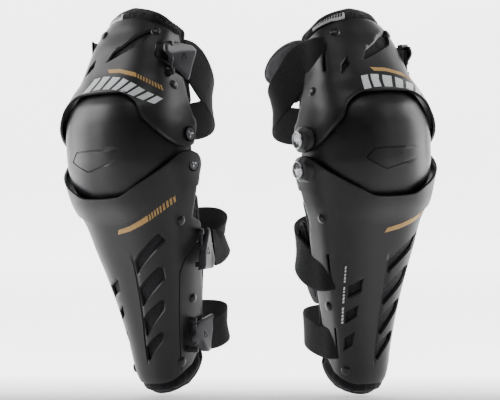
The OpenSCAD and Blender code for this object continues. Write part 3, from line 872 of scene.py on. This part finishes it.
pad("thigh_liner_foam", "thigh_liner", "thigh", "liner_fabric", 0.7, thigh_form, THIGH_PAD, INNER,
    THIGH_LINER, channels=quilt(thigh_form, 80, (410, 436)), puff=0.6, tape=(WALL + 4.6, 3.6, 3.4))
pad("knee_pad_foam", "knee_pad", "knee", "liner_fabric", 0.7, cup_form, KNEE_PAD, INNER, 7,
    channels=quilt(cup_form, 56, (262, 296, 330)))
pad("shin_liner_foam", "shin_liner", "shin", "liner_fabric", 0.7, shin_form, SHIN_PAD, INNER, 7,
    channels=quilt(shin_form, 84, (60, 110, 160)), puff=0.3, tape=(WALL + 4.6, 3.2, 3.0))
pad("thigh_wing_padded", "thigh_wing", "thigh", "wing_mesh", 0.5, wing_form, THIGH_WING, WALL + 6, 4.4,
    channels=[wing_form.round((-108, 404), (-135, 402), (-168, 394))], channel=1.2, puff=0.5,
    tape=(WALL + 8, 2.6, 2.2))
pad("calf_wing_padded", "calf_wing", "shin", "wing_mesh", 0.5, shin_form, CALF_WING, WALL + 2, 4.4,
    channel=1.2, puff=0.8, tape=(WALL + 4, 2.6, 2.2))


# ---------- straps


def strap(form, path, slot_angle, slot_z, hook_x, hook_y):
    """Points and facings of a strap: from its hook, round behind the leg and through its slot."""
    right, left, back = path
    points = []
    for t in np.linspace(0, 1, 40):
        a = math.pi * t
        line = [right[k] + (left[k] - right[k]) * t for k in range(3)]
        swell = back[0] if t < 0.5 else back[1]
        across = (line[0] + swell * math.sin(a)) * math.copysign(abs(math.cos(a)) ** 0.6, math.cos(a))
        rise = back[3] * math.sin(a) ** back[4]
        points.append([across, line[1] + back[2] * math.sin(a) ** 0.8, line[2] + rise])
    start = np.array([[hook_x, hook_y - 6, right[2]], [hook_x, hook_y + 3, right[2]]])
    z0 = points[-1][2]
    over = []
    for t in np.linspace(0, 1, 9):
        angle = -93 + (slot_angle + 93) * t
        lift = 2.3 if t < 0.93 else -3.5
        over.append(form.point(form.round((angle, z0 + (slot_z - z0) * t)), lift)[0])
    points = even(np.vstack([start, points, over]), 3.5)
    ahead = np.gradient(points, axis=0)
    facing = np.cross(ahead, [0, 0, -1.0])
    facing[:, 2] = 0
    return points, facing


def even(points, step):
    """The same line in even steps, with its corners eased."""
    for _ in range(2):
        length = np.concatenate([[0], np.cumsum(np.linalg.norm(np.diff(points, axis=0), axis=1))])
        at = np.linspace(0, length[-1], max(8, int(length[-1] / step)))
        points = np.stack([np.interp(at, length, points[:, k]) for k in range(3)], -1)
        for _ in range(6):
            points[1:-1] = (points[:-2] + 2 * points[1:-1] + points[2:]) / 4
    return points


# Each strap's form, its path as (right, left, behind), its slot's angle and height, its hook, its width.
STRAPS = {
    "thigh_strap": (thigh_form, [[64, 31, 401], [66, 16, 404], [8, 44, 60, -74, 0.7]],
                    -60, 409, 63.5, 22, 46),
    "calf_strap": (shin_form, [[59, 69, 174], [58, 24, 152], [14, 18, 34, 38, 0.9]], -77, 152, 62.5, 60, 44),
    "ankle_strap": (shin_form, [[45, 74, 70], [41, 34, 66], [15, 15, 44, 22, 1]], -79, 66, 43.5, 66, 38),
}
for name, (form, path, slot_angle, slot_z, hook_x, hook_y, width) in STRAPS.items():
    points, facing = strap(form, path, slot_angle, slot_z, hook_x, hook_y)
    body = "thigh" if name == "thigh_strap" else "shin"
    hook = name.replace("strap", "hook")
    made = sweep(points, facing, width / 2, 1.35, around=16, square=9)
    end = Vector(path[0]) + Vector((0, 26, 0))
    stand(made, f"{name}_webbing", None, "webbing", [name], bend=(hook, body, tuple(path[0]), tuple(end)))


# ---------- moulded shells and what is on them

stand(thigh.build(), "thigh_shell_moulding", "thigh", "shell_plastic", ["thigh_shell"])
stand(cup.build(), "knee_cup_moulding", "knee", "cup_plastic", ["knee_cup"])
stand(shin.build(), "shin_shell_moulding", "shin", "shell_plastic", ["shin_shell"])

thigh_rivets = rivets(thigh, [(-33, 436), (50, 434), (-82, 366), (83, 369)])
stand(thigh_rivets, "thigh_rivet_heads", "thigh", "rivet_plastic", ["thigh_rivets"])
shin_rivets = rivets(shin, [(-78, 216), (83.5, 209), (-88.5, 111), (104, 115), (-58, 33), (80, 40)])
stand(shin_rivets, "shin_rivet_heads", "shin", "rivet_plastic", ["shin_rivets"])


def insert(form, outlines):
    """Perforated sheets just behind the openings of a shell."""
    deep = WALL + 1.2
    larger = [offset(loop_of(outline, 2.5), -3) for outline in outlines]
    return laid(form, larger, lambda uz: -deep, lambda uz: -deep - 0.6, 4.0)


thigh_insert = insert(thigh_form, [large_vent, small_vent])
stand(thigh_insert, "thigh_vent_insert", "thigh", "vent_mesh", ["thigh_vent_mesh"])
stand(insert(shin_form, ladder + diamonds), "shin_vent_insert", "shin", "vent_mesh", ["shin_vent_mesh"])

# Prints: a gold stripe that breaks into bars, white slanted blocks, and fine bars on the side plate.
# Each stripe is its name, shell, material, upper and lower lines, solid share, bars and gap.
STRIPES = [
    ("thigh_gold_stripe", thigh, "print_gold", [(-6, 392), (15, 391), (38, 385), (55, 376), (66, 368)],
     [(-2, 387.5), (16, 386.5), (40, 380), (57, 371), (69, 361.5)], 0.52, 9, 0.45),
    ("shin_gold_stripe", shin, "print_gold",
     [(3, 201.5), (22, 205.5), (40, 212), (54, 219), (66, 228), (75, 240)],
     [(0, 196), (20, 199.5), (38, 205.5), (52, 212), (64, 220.5), (73.5, 232)], 0.55, 9, 0.45),
    ("visor_white_bars", thigh, "print_white",
     [(-27, 381), (-5, 384), (23, 380), (45, 371), (62, 360), (72, 352)],
     [(-34, 363), (-10, 368), (15, 367), (36, 362), (55, 354), (70, 346)], 0, 8, 0.3),
]
for name, shell, slot, *lines in STRIPES:
    body = "shin" if shell is shin else "thigh"
    stand(shell.patch(stripe(shell, *lines)), name, body, slot)

side_bars = []
for i in range(17):
    if i in (5, 11):
        continue
    z = 157 - i * 4.1
    x = -44.5 + i * 0.36
    long = 1.2 if i % 3 else 1.8
    corners = (x, z - long), (x + 1.4, z - long), (x + 1.4, z + long), (x, z + long)
    side_bars.append(shin_form.front(*corners))
stand(shin.patch(side_bars, proud=0.12, cell=2.0), "side_plate_bars", "shin", "print_white")

# Liner label: a pale band with dark slanted bars, laid on the roll of the thigh liner.


def on_liner(outlines, proud):
    """Thin shapes on the outside of the thigh liner's roll."""
    def height(uz):
        full = fullness(uz, THIGH_PAD)
        return (0.9 + roll(thigh_form, uz)) * full + proud - INNER - THIGH_LINER / 2 * (1 - full)

    return laid(thigh_form, outlines, height, lambda uz: height(uz) - 0.6, 2.5)


LABEL = [[-80, 440], [-60, 446.5], [-40, 451], [-14, 455]]
label_marks = []
for a in range(-77, -21, 5):
    corners = (a, 2.4), (a + 3, 2.4), (a + 5, 6), (a + 2, 6)
    label_marks.append(thigh_form.round(*[(x, np.interp(x, *zip(*LABEL)) + up) for x, up in corners]))
label_ground = [thigh_form.round(*LABEL, *[(a, z + 7) for a, z in LABEL[::-1]])]
stand(on_liner(label_ground, 0.35), "liner_label_ground", "thigh", "label_print", ["liner_label"])
stand(on_liner(label_marks, 0.6), "liner_label_marks", "thigh", "rivet_plastic")


# ---------- hinge covers, rings and hubs

# How far out the rings of the covers and the wells of the hook side stand.
BOSS_FACE, WELL_FACE = 89.4, 85.2

# Corners of a boss about its pivot, as (back, up).
BOSS = [(12, 8), (12, -8), (4, -15), (-12, -15.5), (-24, -11), (-30, 1), (-24, 12), (-8, 15.5), (4, 15)]


def cover(name, body, form, y, z):
    """D-shaped boss over a pivot, blunt towards the front, with its silver ring and hub."""
    outline = fillet(form.round(*[(-turn_of(form, y + back, z + up), z + up) for back, up in BOSS]), 5)
    steps = [(0, 2.2), (0.5, 3.2), (3.0, 3.6), (3.7, 5.2), (FAR, 5.4)]
    boss = Shell(form, outline, [], [Relief(outline, steps)])
    made = boss.build(cell=2.6, wall=4.2, bevel=0.4)
    stand(made, f"{name}_hinge_boss", body, "shell_plastic", [f"{name}_hinge_cover"])
    ring = [(8.9, -0.4), (9.0, 0.6), (9.3, 1.0), (9.7, 1.1), (10.1, 0.9), (10.4, 0.5), (10.5, -0.2),
            (10.5, -1.4), (8.9, -1.4)]
    at = side_matrix(-1, y, z, BOSS_FACE)
    made = lathe(ring + ring[:1], at, 56)
    stand(made, f"{name}_hinge_ring", body, "silver_ring", [f"{name}_cap_ring"])
    dish = [(8.95, -2.4), (8.95, -0.4), (8.5, -0.6), (8.0, -1.9), (5.0, -2.1), (0.05, -2.1)]
    # the dish is matt and darker than the shell, a painted shade in the recess
    stand(lathe(dish, at, 48), f"{name}_hinge_dish", body, "shell_plastic", look="shaded_recess_plastic")
    stand(hub(at @ Matrix.Translation((0, 0, -0.6)), 5.0), f"{name}_hinge_hub", body, "silver_ring")


def turn_of(form, y, z):
    """Degrees round from the front where a form's side reaches y at height z."""
    front_y, side, square = [float(smooth(form.rows[:, 0], form.rows[:, k], z)) for k in (2, 3, 4)]
    if y >= side:
        return 90 + y - side
    return math.degrees(math.acos(min(1, (side - y) / (side - front_y)) ** (square / 2)))


def hub(at, r):
    """A three-armed hub: plain blades round a centre."""
    blades = []
    corners = (0.12, -0.16), (0.95, -0.3), (0.78, 0.1), (0.12, 0.2)
    verts = [(x * r, y * r, h) for h in (-1.0, 0.35) for x, y in corners]
    top = [(4, 5), (5, 6), (6, 7), (7, 4)]
    for k in range(3):
        blade = mesh_object(verts, tube(2, 4), [v[:2] for v in verts], sharp=30, bevel_edges=top, bevel=0.3)
        blade.data.transform(at @ Matrix.Rotation(math.radians(120 * k + 20), 4, "Z"))
        blades.append(blade)
    return join(blades)


PIVOTS = [("upper", "thigh", thigh_form, UPPER_Y, UPPER_Z), ("lower", "shin", shin_form, LOWER_Y, LOWER_Z)]
for pivot in PIVOTS:
    cover(*pivot)
for name, body, _, y, z in PIVOTS:
    at = side_matrix(1, y, z, WELL_FACE)
    well = [(9.0, -1.4), (9.0, 0.5), (8.4, 1.0), (7.7, 0.9), (7.3, 0.2), (5.6, -0.1), (0.05, -0.1)]
    # the well is matt and darker than the shell, a painted shade in the recess
    stand(lathe(well, at, 48), f"{name}_pivot_well", body, "shell_plastic", look="shaded_recess_plastic")
    stand(hub(at @ Matrix.Translation((0, 0, 0.7)), 5.4), f"{name}_pivot_hub", body, "silver_ring")


# ---------- strap hooks


class Plate:
    """A flat form that faces +X, so that a Shell can be made on it: u runs along Y."""

    def __init__(self, x, y, curve):
        self.x, self.y, self.curve = x, y, curve

    def point(self, uz, out=0.0):
        uz = np.asarray(uz, float)
        bend = self.curve * (uz[:, 0] - self.y) ** 2
        return np.stack([self.x - bend + out, uz[:, 0], uz[:, 1]], -1)

    def normal(self, uz):
        return np.tile([1.0, 0.0, 0.0], (len(uz), 1))


# Each hook's pin, its turn, its barrel's ends, its outline as (y, z) and the ridge between its bright
# upper facet and its lower one.
HOOKS = {
    "thigh_hook": ((67, -12, 401), 1, (396, 413),
                   [(-22, 418), (-24, 409), (-7, 391), (17, 375), (22, 377), (34, 404), (35, 411), (28, 416),
                    (0, 419)], [(-30, 404), (0, 408), (40, 411)]),
    "calf_hook": ((66.6, 27, 175), -6, (158, 176),
                  [(20, 152), (20, 166), (40, 197), (43, 199), (47, 193), (57, 159), (52, 150), (16, 149)],
                  [(26, 142), (30, 170), (42, 206)]),
    "ankle_hook": ((46, 30, 71), -2, (60, 84),
                   [(22, 64), (24, 73), (34, 86), (70, 94), (74, 90), (60, 51), (54, 49), (44, 50)],
                   [(8, 76), (40, 66), (58, 42)]),
}
for name, (pin, turn, (low, high), outline, ridge) in HOOKS.items():
    form = Plate(pin[0] + 1.2, pin[1], 0.0012)
    outline = np.array(outline, float)
    middle = outline.mean(0)
    mark = [middle + 5.2 * np.array([math.cos(a), math.sin(a)]) for a in np.radians([100, 220, 340])]
    plate = Shell(form, fillet(outline, 3), [],
                  [Relief(outline, [(0, 0), (2.2, 1.3), (FAR, 1.3)]),
                   Relief(np.array(ridge, float), [(-16, -1.4), (0, 1.5), (14, -0.3)], False, 0),
                   Relief(fillet(np.array(mark), 1.6), groove(0.9, 0.8), True)])
    barrel = lathe([(2.6, low), (3.2, low + 0.6), (3.2, high - 0.6), (2.6, high)],
                   Matrix.Translation((pin[0], pin[1], 0)), 24)
    made = join([plate.build(cell=2.4, wall=2.4, bevel=0.5), barrel])
    about = Matrix.Translation(pin)
    made.data.transform(about @ Matrix.Rotation(math.radians(-turn), 4, "Z") @ about.inverted())
    stand(made, f"{name}_plate", name, "hook_plastic", [name])


def lugs(form, pin, height):
    """The two lugs on a shell that carry a hook's pin, above and below its barrel."""
    root = float(smooth(form.rows[:, 0], form.rows[:, 1], pin[2])) - 1.5 - pin[0]
    line = [(root, -4.6), (root + 2, -4.0)]
    line += [(3.6 * math.cos(a), 3.6 * math.sin(a)) for a in np.radians(np.linspace(-80, 80, 13))]
    line += [(root + 2, 4.0), (root, 4.6)]
    n = len(line)
    edges = [(i + k, i + 1 + k) for i in range(n - 1) for k in (0, n)]
    made = []
    for side in (-1, 1):
        middle = pin[2] + side * (height / 2 - 3.5)
        verts = [(pin[0] + x, pin[1] + y, middle + dz) for dz in (-3.2, 3.2) for x, y in line]
        made.append(mesh_object(verts, tube(2, n), [v[1:] for v in verts], 40, edges, 0.7))
    return made


calf_lugs = lugs(shin_form, HOOKS["calf_hook"][0], 46)
ankle_lugs = lugs(shin_form, HOOKS["ankle_hook"][0], 42)
stand(join(lugs(thigh_form, HOOKS["thigh_hook"][0], 40)), "thigh_hook_lugs", "thigh", "shell_plastic")
stand(join(calf_lugs + ankle_lugs), "shin_hook_lugs", "shin", "shell_plastic")

# The CAD's own pins, washers and patches stay, with finished materials.
KEPT = {"pivot_pins": "dark_steel", "pivot_washers": "steel", "thigh_hook_pin": "dark_steel",
        "shin_hook_pins": "dark_steel", "thigh_fasteners": "fastener_fabric",
        "shin_fasteners": "fastener_fabric"}
for guard in ("left", "right"):
    for node, slot in KEPT.items():
        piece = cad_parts[f"{guard}_{node}"]
        piece.data.materials.clear()
        piece.data.materials.append(MATERIALS[slot])


# ---------- floor, light and camera


def backdrop():
    """A pale floor that curves up behind the guards."""
    floor, start, radius, top, half = -KNEE_MID / 1000 - 0.0005, 6.0, 1.5, 8.0, 9.0
    line = [(-9, floor), (start, floor)]
    line += [(start + radius * math.sin(a), floor + radius * (1 - math.cos(a)))
             for a in np.radians(np.linspace(6, 90, 15))]
    line.append((start + radius, top))
    verts = [(x, y, z) for y, z in line for x in (-half, half)]
    faces = [(2 * i, 2 * i + 1, 2 * i + 3, 2 * i + 2) for i in range(len(line) - 1)]
    obj = mesh_object(verts, faces)
    obj.name = "studio_floor"
    look = Look("studio_white", 0.9)
    back = look.node("SeparateXYZ", Vector=look.place(False)).outputs[1]
    look.colour(look.ramp(look.noise(3), (0.8, 0.8, 0.805), (0.86, 0.86, 0.865)))
    glow = look.ramp(look.noise(2), (0.97, 0.98, 1.0), (1.0, 1.0, 1.0))
    look.join(glow, look.shader.inputs["Emission Color"])
    look.join(look.span(back, 0.0, 3.4, -0.04, 0.3), look.shader.inputs["Emission Strength"])
    obj.data.materials.append(look.material)


def softbox(name, at, aim, size, power):
    light = bpy.data.lights.new(name, "AREA")
    light.shape, (light.size, light.size_y), light.energy = "RECTANGLE", size, power
    obj = linked(name, light)
    obj.location = at
    obj.rotation_euler = (Vector(aim) - Vector(at)).to_track_quat("-Z", "Y").to_euler()


backdrop()
for name, side in (("left_box", -1), ("right_box", 1)):
    softbox(name, (1.5 * side, 0.25, 0.3), (0.1 * side, 0, 0), (0.8, 1.6), 32)
softbox("top_box", (0, -0.9, 2.0), (0, 0, 0), (2.0, 0.8), 10)
world = bpy.data.worlds.new("studio")
bpy.context.scene.world = world
world.use_nodes = True
ambient = world.node_tree.nodes["Background"].inputs
ambient[0].default_value = (1, 1, 1, 1)
ambient[1].default_value = 0.14

camera = bpy.data.cameras.new("camera")
camera.lens, camera.sensor_width = 144, 36
eye = linked("camera", camera)
eye.location = (0.001, -2.4, -0.0567)
eye.rotation_euler = (math.radians(90), 0, 0)
bpy.context.scene.camera = eye
